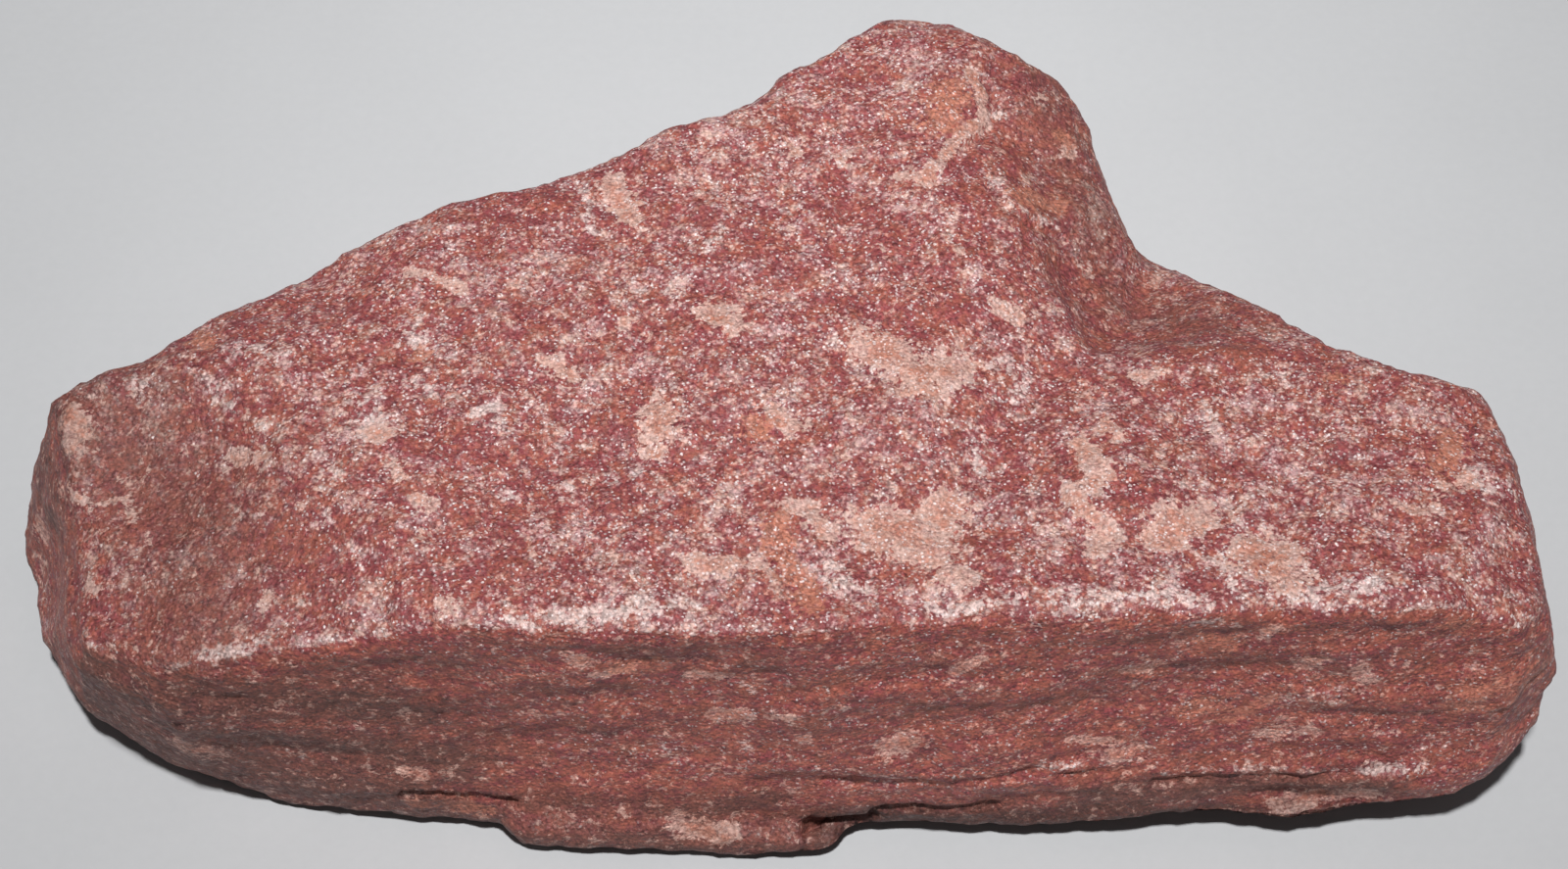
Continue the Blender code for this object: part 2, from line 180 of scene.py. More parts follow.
# Marks on the front wall, seen from the front: kind, reach, strength, points (x, z)
FRONT_MARKS = [
    ("dull", 7.0, 1.0, [(-56, 12), (-48, 9), (-38, 7), (-28, 6)]),
    ("dull", 5.0, 0.9, [(-44, 14), (-34, 12), (-24, 10)]),
    ("dull", 5.0, 0.95, [(-54, 17), (-46, 17.5), (-36, 18.5), (-28, 17)]),
    ("dull", 3.0, 0.8, [(-20, 5), (-8, 5), (0, 6)]),
    ("brick", 1.0, 0.9, [(-27, 4.6), (-24.5, 4.0), (-22, 3.8)]),
    # These two dull the band under the foot's ledge: a grey film, and painted shade there
    ("dull", 2.2, 1.0, [(2, 3.6), (10, 3.4), (20, 4.0), (28, 5.2)]),
    ("dull", 2.0, 1.0, [(24, 6.8), (30, 6.6), (38, 7.2), (46, 7.6)]),
    ("frost", 0.7, 0.9, [(-41.5, 15.6), (-39.5, 15.2)]),
    ("peach", 0.8, 0.9, [(-44, 11.4), (-41.3, 10.4)]),
    ("frost", 0.6, 0.9, [(-37, 10.8), (-35, 10.2)]),
    ("frost", 0.6, 0.9, [(-32.4, 15), (-31.2, 14.6)]),
    ("frost", 0.5, 0.9, [(-37, 9), (-35, 8.6)]),
    ("peach", 0.6, 0.9, [(-27.6, 8.8), (-26.2, 8.2)]),
    ("frost", 0.6, 0.9, [(-25.2, 23)]),
    ("frost", 0.5, 0.9, [(-29.5, 20.5), (-28, 20.2)]),
    ("peach", 0.8, 0.9, [(-14, 25.8), (-13, 24.8)]),
    ("brick", 0.9, 1.0, [(-11, 23.9), (-9, 24.1), (-7.5, 24.6)]),
    ("peach", 0.6, 0.9, [(-12.7, 23.4), (-10.3, 23.7)]),
    ("peach", 0.6, 0.9, [(-6, 22.4), (-3, 22.6)]),
    ("frost", 0.6, 0.9, [(-2.2, 21.6), (-1.2, 20.8)]),
    ("frost", 0.5, 0.9, [(1, 21.3), (2.3, 21.1)]),
    ("peach", 1.0, 0.9, [(-4, 17.5), (-2, 17.5)]),
    ("peach", 0.6, 0.8, [(0, 18), (1.4, 17.9)]),
    ("frost", 0.5, 0.9, [(-11.5, 20.3), (-9, 19.2)]),
    ("frost", 0.9, 1.0, [(-9.5, 13.3), (-7, 12.7)]),
    ("frost", 0.9, 0.8, [(-2.2, 14.5), (-1.2, 13.3)]),
    ("peach", 0.7, 0.9, [(2.5, 15)]),
    ("peach", 1.3, 1.0, [(8.8, 13.4), (10, 13.8)]),
    ("peach", 0.7, 0.9, [(13.4, 22.6), (15, 23.8)]),
    ("frost", 0.5, 0.9, [(12.6, 20), (15.2, 20.8)]),
    ("frost", 0.6, 0.8, [(5.4, 19)]),
    ("peach", 0.9, 1.0, [(-7, 4.3), (-6, 3.7), (-3.5, 3.3)]),
    ("frost", 0.9, 1.0, [(30.5, 26.8), (32, 27.1), (33.5, 26.4)]),
    ("maroon", 0.5, 1.0, [(30.8, 25)]),
    ("brick", 1.0, 1.0, [(31.5, 24.2), (33.7, 23.7)]),
    ("peach", 0.6, 0.9, [(35.6, 24.8), (36.3, 26)]),
    ("frost", 0.5, 0.8, [(27, 26)]),
    ("peach", 0.8, 0.9, [(26.3, 21), (28, 21)]),
    ("frost", 0.7, 0.8, [(34.3, 22.6)]),
    ("peach", 0.9, 0.9, [(39, 21.3), (40, 22)]),
    ("peach", 0.8, 0.9, [(42.7, 21.3), (43.7, 19.5)]),
    ("frost", 0.5, 0.9, [(17.7, 15), (19.8, 16.7), (21, 15)]),
    ("peach", 0.6, 0.9, [(22.5, 13.4), (25.8, 12.7)]),
    ("peach", 1.0, 0.9, [(25.6, 11.2), (27.4, 11.7)]),
    ("frost", 0.5, 0.9, [(29.2, 17.2), (31, 17.6)]),
    ("brick", 1.3, 0.9, [(31, 15.7), (33.2, 16)]),
    ("brick", 0.8, 0.9, [(33.7, 14.3), (37, 17.3)]),
    ("peach", 1.0, 0.9, [(37, 13), (40.3, 13.6)]),
    ("brick", 1.7, 0.9, [(50.7, 17.3), (53.5, 18.3), (57, 17)]),
    ("brick", 1.0, 0.8, [(48.3, 25.4), (50.3, 25.6)]),
    ("frost", 0.7, 0.9, [(48.5, 11.1), (49.3, 12.2), (51, 11.2)]),
    ("frost", 0.5, 0.8, [(44.8, 9.8)]),
    ("frost", 0.4, 1.0, [(-2, 11.3), (2.5, 11.1), (8.4, 9.5), (19.4, 9.3)]),
    ("frost", 0.45, 1.0, [(20, 10.8), (23.7, 10.6), (28.2, 10.4)]),
    ("frost", 0.45, 1.0, [(29.4, 8.8), (40, 9.1), (49, 9.2)]),
    ("peach", 0.9, 1.0, [(38.7, 4.3), (41.3, 5.2), (45.6, 6)]),
]
MARK_KINDS = ("peach", "frost", "brick", "maroon", "dull")
# What else the skin tells its material at each point; the last is painted shade underneath
SKIN_FIELDS = ("wear", "hollow", "wall", "under")

# Grooves cut into the front wall, seen from the front: depth, half width, points (x, z)
FRONT_CUTS = [
    (0.8, 0.42, [(-28, 6.0), (-26, 6.2), (-23.5, 5.6), (-21.5, 5.5), (-19.6, 5.0)]),
    (2.0, 0.90, [(3.0, 3.3), (5, 3.0), (7.5, 3.1)]),
    (0.6, 0.60, [(8, 4.4), (12, 4.7), (17, 5.2)]),
    (0.35, 0.60, [(4, 8.9), (9, 8.6), (14, 9.0), (20, 10.4)]),
    (0.35, 0.50, [(22, 9.7), (27, 9.2)]),
    (0.4, 0.55, [(29, 7.6), (34, 8.0), (40, 8.4), (47, 9.4)]),
]

# Shallow grooves beside the scars on the top, seen from above: depth, half width, points (x, y)
TOP_CUTS = [
    (0.45, 0.50, [
        (17.2, 25.6), (18.1, 24), (18.0, 21.2), (16.4, 19.0), (15.1, 16.6), (14.0, 14.5), (12.4, 12.7),
    ]),
    (0.50, 0.55, [(17.2, 13.0), (18.6, 11.0), (20.0, 10.1), (23.0, 10.0)]),
    (0.35, 0.45, [(-1.6, -10.4), (1.0, -10.2), (3.0, -12.4)]),
    (0.35, 0.45, [(20.6, -17.4), (21.4, -20.6), (22.6, -23.4)]),
    (0.30, 0.40, [(4.6, -4.6), (7.0, -6.6), (9.6, -8.2)]),
]

# The foot's front edge, seen from above, as points (x, y), how high each stands over the
# floor, how far in from the edge the foot comes down again, and the share of that reach
# which stays at its full height
FOOT_EDGE = [
    (-19, -33.2), (-15, -33.5), (-9, -33.7), (-5, -33.9), (-1, -33.9), (3, -34), (7, -32),
    (18, -32), (30, -31.7), (36, -31.6), (43, -31.6), (50, -31), (56, -28), (60, -20),
]
FOOT_RISE = [0.0, 1.4, 1.5, 0.3, 1.3, 1.6, 2.1, 2.3, 3.6, 3.6, 4.2, 5.0, 6.8, 8.0]
FOOT_REACH = 9.0
FOOT_LIP = 0.1

# The left part of that edge, with each point's height, how far it sinks to the floor, and the
# point above the front that it sinks away from, in millimetres
SINK_EDGE = [
    (-57, -15.8), (-51, -26), (-47, -27.9), (-43, -29.3), (-39, -30.3), (-34, -30.7), (-25, -30.8),
]
SINK_HEIGHT = [9.1, 8.6, 5.7, 5.1, 4.0, 2.6, 0.7]
SINK_DEPTH = [4.8, 4.8, 4.2, 3.8, 3.0, 1.6, 0.0]
SINK_FROM = (1.0, -170.1, 251.6)
# It sinks less and less over this height, and over these ways in from the edge: the sinking
# itself and the slide that goes with it. The lowest points stay this far above the floor.
SINK_FADE_UP = 10.0
SINK_FADE_IN = (12.0, 34.0)
SLIDE_FADE_IN = (3.0, 14.0)
FLOOR_GAP = 0.1

# Chips step down in flat terraces, this many over the noise's range, each this steep at its rim
TERRACES = 4.0
TERRACE_RIM = 0.35
# Chips are lower on the walls, and worn edges lose up to this many millimetres
WALL_CHIPS = 0.18
BITE_DEPTH = 0.5
# Points this far below or above the evened skin, in millimetres, count as hollow or as worn,
# and this many rounds even it out
EVENING_ROUNDS = 16
HOLLOW_RANGE = (0.02, 0.18)
WEAR_RANGE = (0.03, 0.22)
# The dull left end starts this far to the left of the middle, and is at its full dullness there
LEFT_END = (50.0, 57.0)
# The dull foot of the front wall: how far up it fades out, and how far forward it sets in
FOOT_TOP = (3.6, 6.0)
FOOT_FRONT = (24.0, 29.0)
# The painted shade along the foot's ledge sets in this far to the right of the middle, and the
# underside gets painted shade where the hollow lifts it by this much
LEDGE_SHADE_START = (1.0, 5.0)
LIFT_SHADE_RANGE = (0.3, 1.0)

# Lumps of each relief in millimetres: along the stone, across it, and up through the beds
CHIP_SIZE = (3.4, 3.4, 1.3)
GROOVE_SIZE = (3.6, 3.6, 1.2)
PEBBLE_SIZE = (1.7, 1.7, 1.2)
GRAIN_SIZE = (0.9, 0.9, 0.7)
BITE_SIZE = (2.3, 2.3, 1.6)

# Each further octave of noise is this many times finer, and loses strength by this power of it
OCTAVE_STEP = 2.1
OCTAVE_LOSS = 0.9

# The sheet's own colour varies between these shares of it
PAPER_SHADES = (0.93, 1.05)
# The even light from all around is a little blue, and the camera's frame is this wide
ROOM_COLOUR = (0.98, 0.99, 1.0, 1.0)
FRAME_WIDTH = 36.0

# Places in the noise, so that two reliefs of the same size don't follow each other
CHIP_PLACE = Vector((7.3, 1.9, 4.4))
GROOVE_PLACE = Vector((2.1, 8.2, 0.7))
PEBBLE_PLACE = Vector((5.5, 3.3, 9.1))
GRAIN_PLACE = Vector((0.4, 6.6, 2.8))


class StoneSkinSizes(bpy.types.PropertyGroup):
    """Sizes of the stone's skin and of its relief."""

    step: FloatProperty(
        name="Mesh step",
        description="Distance between the points of the fine skin",
        default=0.00047,
        unit="LENGTH",
    )
    rounding: IntProperty(
        name="Rounding",
        description="How many times the skin is smoothed to lose the facets of the solid",
        default=7,
        min=0,
    )
    chip_height: FloatProperty(
        name="Chips",
        description="Height of the flat chips on the bed faces",
        default=0.00022,
        unit="LENGTH",
    )
    groove_height: FloatProperty(
        name="Bed grooves",
        description="Depth of the grooves between beds on the steep walls",
        default=0.00009,
        unit="LENGTH",
    )
    pebble_height: FloatProperty(
        name="Pebbling",
        description="Height of the lumps of grains all over the stone",
        default=0.00016,
        unit="LENGTH",
    )
    grain_height: FloatProperty(
        name="Grain relief",
        description="Height of single grains in the mesh",
        default=0.00007,
        unit="LENGTH",
    )


class StoneColours(bpy.types.PropertyGroup):
    """Colours of the stone and of the sheet that it lies on."""

    maroon: FloatVectorProperty(
        name="Maroon grains",
        description="Darkest grains",
        subtype="COLOR",
        size=4,
        default=(0.272, 0.056, 0.062, 1.0),
    )
    brick: FloatVectorProperty(
        name="Brick-red grains",
        description="Warm dark grains",
        subtype="COLOR",
        size=4,
        default=(0.357, 0.099, 0.067, 1.0),
    )
    rose: FloatVectorProperty(
        name="Rose haze",
        description="Pale grains over the maroon ones",
        subtype="COLOR",
        size=4,
        default=(0.570, 0.330, 0.332, 1.0),
    )
    cream: FloatVectorProperty(
        name="Cream haze",
        description="Pale grains over the brick-red ones",
        subtype="COLOR",
        size=4,
        default=(0.632, 0.410, 0.345, 1.0),
    )
    frosted: FloatVectorProperty(
        name="Frosted grains",
        description="Bruised grains",
        subtype="COLOR",
        size=4,
        default=(0.705, 0.515, 0.480, 1.0),
    )
    # Painted highlight: glints painted near-white into the stone's colour
    painted_glint: FloatVectorProperty(
        name="Glints",
        description="Small clear faces that shine",
        subtype="COLOR",
        size=4,
        default=(0.940, 0.830, 0.815, 1.0),
    )
    peach: FloatVectorProperty(
        name="Peach scales",
        description="Pale scales of another mineral",
        subtype="COLOR",
        size=4,
        default=(0.665, 0.405, 0.335, 1.0),
    )
    orange: FloatVectorProperty(
        name="Orange patches",
        description="Orange places inside scales, and brick-red patches",
        subtype="COLOR",
        size=4,
        default=(0.490, 0.178, 0.116, 1.0),
    )
    drab: FloatVectorProperty(
        name="Dull faces",
        description="Worn faces with a brown film",
        subtype="COLOR",
        size=4,
        default=(0.215, 0.082, 0.066, 1.0),
    )
    ash: FloatVectorProperty(
        name="Grey walls",
        description="Weathered walls with a grey-brown film",
        subtype="COLOR",
        size=4,
        default=(0.128, 0.064, 0.052, 1.0),
    )
    paper: FloatVectorProperty(
        name="Sheet",
        description="Pale sheet below the stone",
        subtype="COLOR",
        size=4,
        default=(0.500, 0.505, 0.515, 1.0),
    )


class StoneStageSizes(bpy.types.PropertyGroup):
    """Sizes of the floor, the light and the view."""

    floor_side: FloatProperty(
        name="Floor side",
        description="Side of the square floor",
        default=2.0,
        unit="LENGTH",
    )
    light_side: FloatProperty(
        name="Light side",
        description="Side of the square soft light",
        default=0.07,
        unit="LENGTH",
    )
    light_spread: FloatProperty(
        name="Light spread",
        description="How wide the beam of the soft light opens",
        default=math.radians(26),
        subtype="ANGLE",
    )
    light_distance: FloatProperty(
        name="Light distance",
        description="From the stone to the soft light",
        default=1.2,
        unit="LENGTH",
    )
    light_height: FloatProperty(
        name="Light angle",
        description="How high the soft light stands over the floor",
        default=math.radians(74),
        subtype="ANGLE",
    )
    light_turn: FloatProperty(
        name="Light turn",
        description="How far the soft light stands to the left of the front",
        default=math.radians(2),
        subtype="ANGLE",
    )
    light_power: FloatProperty(
        name="Light power",
        description="Watts of the soft light",
        default=0.365,
        unit="POWER",
    )
    light_aim: FloatVectorProperty(
        name="Light aim",
        description="Where the light points, from the middle of the view",
        subtype="TRANSLATION",
        unit="LENGTH",
        default=(0.002, 0.034, 0.0),
    )
    room_light: FloatProperty(
        name="Room light",
        description="Strength of the even light from all around",
        default=0.08,
    )
    view_height: FloatProperty(
        name="View angle",
        description="How high the camera looks down from",
        default=math.radians(55),
        subtype="ANGLE",
    )
    view_distance: FloatProperty(
        name="View distance",
        description="From the camera to the stone's middle",
        default=0.290,
        unit="LENGTH",
    )
    view_target: FloatVectorProperty(
        name="View target",
        description="The point that the camera looks at",
        subtype="TRANSLATION",
        size=3,
        default=(0.001012, -0.003737, 0.014),
    )
    lens: FloatProperty(
        name="Lens",
        description="Focal length in millimetres",
        default=85.0,
    )


def smooth_step(low, high, values):
    """0 below low, 1 above high, and an S-curve between."""
    share = np.clip((values - low) / (high - low), 0.0, 1.0)
    return share * share * (3.0 - 2.0 * share)


def line_distance(places, points):
    """How far each 2D place is from a line through the points."""
    points = [np.array(p, dtype=float) for p in points]
    nearest = np.linalg.norm(places - points[0], axis=1)
    for start, end in zip(points, points[1:]):
        along = end - start
        share = np.clip((places - start) @ along / (along @ along), 0.0, 1.0)
        foot = start + share[:, None] * along
        nearest = np.minimum(nearest, np.linalg.norm(places - foot, axis=1))
    return nearest


def noise_at(places, size, start, octaves=1):
    """Noise from -1 to 1 at each place, with lumps of the given size in millimetres."""
    scaled = places / np.array(size, dtype=float)
    if octaves == 1:
        return np.array([noise.noise(Vector(p) + start) for p in scaled])
    return np.array(
        [noise.fractal(Vector(p) + start, OCTAVE_LOSS, OCTAVE_STEP, octaves) for p in scaled]
    )


def bed_places(places):
    """The places turned so that their third number is the height above the bed."""
    dip = math.radians(BED_DIP)
    turned = places.copy()
    turned[:, 1] = places[:, 1] * math.cos(dip) - places[:, 2] * math.sin(dip)
    turned[:, 2] = places[:, 2] * math.cos(dip) + places[:, 1] * math.sin(dip)
    return turned


def mesh_places(mesh):
    """The mesh's points in millimetres."""
    flat = np.empty(len(mesh.vertices) * 3)
    mesh.vertices.foreach_get("co", flat)
    return flat.reshape(-1, 3) / MM


def mesh_normals(mesh):
    """The way that the surface faces at each of the mesh's points."""
    flat = np.empty(len(mesh.vertices) * 3)
    mesh.vertex_normals.foreach_get("vector", flat)
    return flat.reshape(-1, 3)


def mesh_edges(mesh):
    """The two ends of each edge, as two arrays."""
    flat = np.empty(len(mesh.edges) * 2, dtype=np.int64)
    mesh.edges.foreach_get("vertices", flat)
    return flat.reshape(-1, 2).T


def spread(values, ends, rounds):
    """Evens values out over the mesh: each round mixes a point with its neighbours."""
    first, second = ends
    shape = values.reshape(len(values), -1)
    count = np.bincount(first, minlength=len(shape)) + np.bincount(second, minlength=len(shape))
    count = np.maximum(count, 1)[:, None]
    for _ in range(rounds):
        total = np.empty_like(shape)
        for column in range(shape.shape[1]):
            total[:, column] = np.bincount(first, shape[second, column], len(shape))
            total[:, column] += np.bincount(second, shape[first, column], len(shape))
        shape = (shape + total / count) / 2
    return shape.reshape(values.shape)


def fine_mesh(solid, sizes):
    """A closed copy of the solid's mesh with small even faces and no facets."""
    joined = bmesh.new()
    joined.from_mesh(solid.data)
    bmesh.ops.remove_doubles(joined, verts=joined.verts[:], dist=1e-6)
    rough = bpy.data.meshes.new("rough skin")
    joined.to_mesh(rough)
    joined.free()
    rough.materials.clear()
    holder = bpy.data.objects.new("rough skin", rough)
    bpy.context.scene.collection.objects.link(holder)
    remesh = holder.modifiers.new("fine mesh", "REMESH")
    remesh.mode = "VOXEL"
    remesh.voxel_size = sizes.step
    smooth = holder.modifiers.new("no facets", "SMOOTH")
    smooth.factor = 0.5
    smooth.iterations = sizes.rounding
    bpy.context.view_layer.update()
    graph = bpy.context.evaluated_depsgraph_get()
    mesh = bpy.data.meshes.new_from_object(holder.evaluated_get(graph))
    mesh.name = SKIN
    bpy.data.objects.remove(holder)
    return mesh


def mark_field(places, marks):
    """Each kind's marks as values from 0 to 1 at 2D places: a mark's edge is at 0.5."""
    fields = {kind: np.zeros(len(places)) for kind in MARK_KINDS}
    for kind, reach, strength, points in marks:
        share = 1.0 - line_distance(places, points) / (2.0 * reach)
        fields[kind] = np.maximum(fields[kind], strength * np.clip(share, 0.0, 1.0))
    return fields


def relief(places, normals, wear, sizes):
    """How far each point of the skin moves out along its normal, in millimetres."""
    beds = bed_places(places)
    level = smooth_step(0.45, 0.85, np.abs(normals[:, 2]))
    steep = 1.0 - smooth_step(0.25, 0.75, np.abs(normals[:, 2]))
    chips = noise_at(beds, CHIP_SIZE, CHIP_PLACE, 3)
    steps = chips * TERRACES
    terraces = (np.floor(steps) + smooth_step(0.0, TERRACE_RIM, steps % 1.0)) / TERRACES
    out = terraces * sizes.chip_height / MM * (WALL_CHIPS + (1.0 - WALL_CHIPS) * level)
    grooves = noise_at(beds, GROOVE_SIZE, GROOVE_PLACE, 2)
    out -= np.abs(grooves) * sizes.groove_height / MM * steep
    out += noise_at(places, PEBBLE_SIZE, PEBBLE_PLACE, 2) * sizes.pebble_height / MM
    out += noise_at(places, GRAIN_SIZE, GRAIN_PLACE) * sizes.grain_height / MM
    bites = noise_at(places, BITE_SIZE, PEBBLE_PLACE, 2)
    out -= wear * np.clip(bites, 0.0, 1.0) * BITE_DEPTH
    front = smooth_step(0.3, 0.6, -normals[:, 1])
    for facing, across, cuts in ((front, [0, 2], FRONT_CUTS), (level, [0, 1], TOP_CUTS)):
        for depth, half_width, points in cuts:
            share = line_distance(places[:, across], points) / half_width
            out -= facing * depth * np.clip(1.0 - share * share, 0.0, 1.0)
    return out


def undercut(places):
    """The places with the foot hollowed out along its front edge."""
    edge = np.array(FOOT_EDGE, dtype=float)
    rise = np.interp(places[:, 0], edge[:, 0], FOOT_RISE)
    inward = (places[:, 1] - np.interp(places[:, 0], edge[:, 0], edge[:, 1])) / FOOT_REACH
    raised = places.copy()
    raised[:, 2] = np.maximum(places[:, 2], rise * (1.0 - smooth_step(FOOT_LIP, 1.0, inward)))
    return raised


def sunk(places):
    """The places with the left part of the stone's foot drawn down towards the floor.

    Along the front edge they move away from one point above the front, further in straight down.
    """
    edge = np.array(SINK_EDGE, dtype=float)
    across = places[:, 0]
    height = np.interp(across, edge[:, 0], SINK_HEIGHT)
    depth = np.interp(across, edge[:, 0], SINK_DEPTH)
    inward = places[:, 1] - np.interp(across, edge[:, 0], edge[:, 1])
    share = 1.0 - smooth_step(0.0, SINK_FADE_UP, places[:, 2] - height)
    drop = depth * share * (1.0 - smooth_step(*SINK_FADE_IN, inward))
    drop = np.minimum(drop, np.maximum(places[:, 2] - FLOOR_GAP, 0.0))
    lines = places - np.array(SINK_FROM)
    shift = lines * (drop / -lines[:, 2])[:, None]
    shift[:, :2] *= (1.0 - smooth_step(*SLIDE_FADE_IN, inward))[:, None]
    return places + shift


def skin_fields(places, normals, ends):
    """What the skin tells its material at each point, as values from 0 to 1."""
    level = smooth_step(0.15, 0.45, normals[:, 2])
    front = smooth_step(0.35, 0.65, -normals[:, 1])
    from_above = mark_field(places[:, :2], BED_MARKS)
    from_front = mark_field(places[:, [0, 2]], FRONT_MARKS)
    fields = {}
    for kind in MARK_KINDS:
        fields[kind] = np.maximum(level * from_above[kind], front * from_front[kind])

    left_end = smooth_step(*LEFT_END, -places[:, 0]) * (1.0 - level)
    low_down = 1.0 - smooth_step(*FOOT_TOP, places[:, 2])
    foot = low_down * smooth_step(*FOOT_FRONT, -places[:, 1])
    fields["dull"] = np.maximum.reduce([fields["dull"], left_end, 0.9 * foot])

    bulge = np.sum((places - spread(places, ends, EVENING_ROUNDS)) * normals, axis=1)
    fields["wear"] = smooth_step(*WEAR_RANGE, bulge)
    fields["hollow"] = smooth_step(*HOLLOW_RANGE, -bulge)
    fields["wall"] = 1.0 - smooth_step(0.30, 0.70, np.abs(normals[:, 2]))
    # Painted shade on faces that look down and along the foot's ledge
    ledge_shade = foot * smooth_step(*LEDGE_SHADE_START, places[:, 0])
    fields["under"] = np.maximum(smooth_step(0.3, 0.7, -normals[:, 2]), 0.7 * ledge_shade)
    return fields


def dressed_skin(solid, sizes):
    """The stone's skin with its relief, and its marks as attributes of its points."""
    mesh = fine_mesh(solid, sizes)
    places = mesh_places(mesh)
    normals = mesh_normals(mesh)
    fields = skin_fields(places, normals, mesh_edges(mesh))
    moved = places + normals * relief(places, normals, fields["wear"], sizes)[:, None]
    low, high = (np.array(corner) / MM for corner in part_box(NODE))
    moved = np.clip(moved, low, high)
    hollowed = undercut(moved)
    # Painted shade where the hollow lifts the foot off the floor
    lifted_shade = smooth_step(*LIFT_SHADE_RANGE, hollowed[:, 2] - moved[:, 2])
    fields["under"] = np.maximum(fields["under"], lifted_shade)
    mesh.vertices.foreach_set("co", (sunk(hollowed) * MM).ravel())
    for name, values in fields.items():
        layer = mesh.attributes.new(name, "FLOAT", "POINT")
        layer.data.foreach_set("value", values.astype(np.float32))
    mesh.shade_smooth()
    mesh.update()
    return mesh


class Recipe:
    """Adds nodes to one material and joins them."""

    def __init__(self, name):
        self.material = bpy.data.materials.new(name)
        self.material.use_nodes = True
        self.nodes = self.material.node_tree.nodes
        self.links = self.material.node_tree.links
        self.shader = self.nodes["Principled BSDF"]

    def put(self, socket, value):
        """Gives a socket a number, a colour, or another node's output."""
        if isinstance(value, bpy.types.NodeSocket):
            self.links.new(value, socket)
        else:
            socket.default_value = value

    def attribute(self, name):
        """The mesh's own number of that name at each point."""
        node = self.nodes.new("ShaderNodeAttribute")
        node.attribute_type = "GEOMETRY"
        node.attribute_name = name
        return node.outputs["Fac"]

    def sum(self, operation, *values, clamp=False):
        """Two or three numbers put together by the named operation."""
        node = self.nodes.new("ShaderNodeMath")
        node.operation = operation
        node.use_clamp = clamp
        for socket, value in zip(node.inputs, values):
            self.put(socket, value)
        return node.outputs[0]

    def more(self, first, second):
        """One number plus the other."""
        return self.sum("ADD", first, second)

    def times(self, first, second):
        """One number times the other."""
        return self.sum("MULTIPLY", first, second)

    def centred(self, number):
        """A number from 0 to 1 moved to lie around 0."""
        return self.sum("SUBTRACT", number, 0.5)

    def weighed(self, total, *parts):
        """A total plus each value times its weight."""
        for value, weight in parts:
            total = self.sum("MULTIPLY_ADD", value, weight, total)
        return total

    def step(self, value, low, high):
        """0 below low, 1 above high, smooth between."""
        node = self.nodes.new("ShaderNodeMapRange")
        node.interpolation_type = "SMOOTHSTEP"
        self.put(node.inputs["Value"], value)
        self.put(node.inputs["From Min"], low)
        self.put(node.inputs["From Max"], high)
        return node.outputs["Result"]

    def place(self, dip):
        """The place on the piece in millimetres, turned by a dip in degrees along the beds."""
        node = self.nodes.new("ShaderNodeMapping")
        node.inputs["Scale"].default_value = (1 / MM, 1 / MM, 1 / MM)
        node.inputs["Rotation"].default_value = (math.radians(dip), 0.0, 0.0)
        self.put(node.inputs["Vector"], self.nodes.new("ShaderNodeTexCoord").outputs["Object"])
        return node.outputs["Vector"]

    def bump(self, height, strength, depth):
        """Relief that only the shading shows, of a depth in millimetres."""
        node = self.nodes.new("ShaderNodeBump")
        node.inputs["Strength"].default_value = strength
        node.inputs["Distance"].default_value = depth * MM
        self.put(node.inputs["Height"], height)
        self.put(self.shader.inputs["Normal"], node.outputs["Normal"])

    def stretched(self, place, size):
        """The place divided by a size in millimetres along each way."""
        node = self.nodes.new("ShaderNodeVectorMath")
        node.operation = "DIVIDE"
        self.put(node.inputs[0], place)
        self.put(node.inputs[1], size)
        return node.outputs[0]

    def noise(self, place, size, detail=2.0, rough=0.5, twist=0.0):
        """Noise around 0 whose lumps are about the given size in millimetres."""
        node = self.nodes.new("ShaderNodeTexNoise")
        self.put(node.inputs["Vector"], self.stretched(place, size))
        node.inputs["Scale"].default_value = 1.0
        node.inputs["Detail"].default_value = detail
        node.inputs["Roughness"].default_value = rough
        node.inputs["Distortion"].default_value = twist
        return self.centred(node.outputs["Fac"])

    def cells(self, place, size):
        """Crystal cells: the distance from a cell's middle, and the cell's own three numbers."""
        node = self.nodes.new("ShaderNodeTexVoronoi")
        self.put(node.inputs["Vector"], self.stretched(place, size))
        node.inputs["Scale"].default_value = 1.0
        parts = self.nodes.new("ShaderNodeSeparateColor")
        self.put(parts.inputs[0], node.outputs["Color"])
        return node.outputs["Distance"], list(parts.outputs)

    def bent(self, place, size, reach):
        """The place moved about by noise, so that straight edges turn ragged."""
        node = self.nodes.new("ShaderNodeTexNoise")
        self.put(node.inputs["Vector"], self.stretched(place, (size, size, size)))
        node.inputs["Scale"].default_value = 1.0
        node.inputs["Detail"].default_value = 1.0
        middle = self.nodes.new("ShaderNodeVectorMath")
        middle.operation = "MULTIPLY_ADD"
        self.put(middle.inputs[0], node.outputs["Color"])
        self.put(middle.inputs[1], (2.0 * reach, 2.0 * reach, 2.0 * reach))
        self.put(middle.inputs[2], place)
        return middle.outputs[0]

    def scaled(self, colour, share):
        """The colour times a number."""
        node = self.nodes.new("ShaderNodeVectorMath")
        node.operation = "SCALE"
        self.put(node.inputs[0], colour)
        self.put(node.inputs["Scale"], share)
        return node.outputs[0]

    def blend(self, share, first, second):
        """The first colour at a share of 0, the second at 1."""
        node = self.nodes.new("ShaderNodeMix")
        node.data_type = "RGBA"
        node.clamp_factor = True
        colours = [socket for socket in node.inputs if socket.type == "RGBA"]
        self.put(node.inputs["Factor"], share)
        self.put(colours[0], first)
        self.put(colours[1], second)
        return [socket for socket in node.outputs if socket.type == "RGBA"][0]


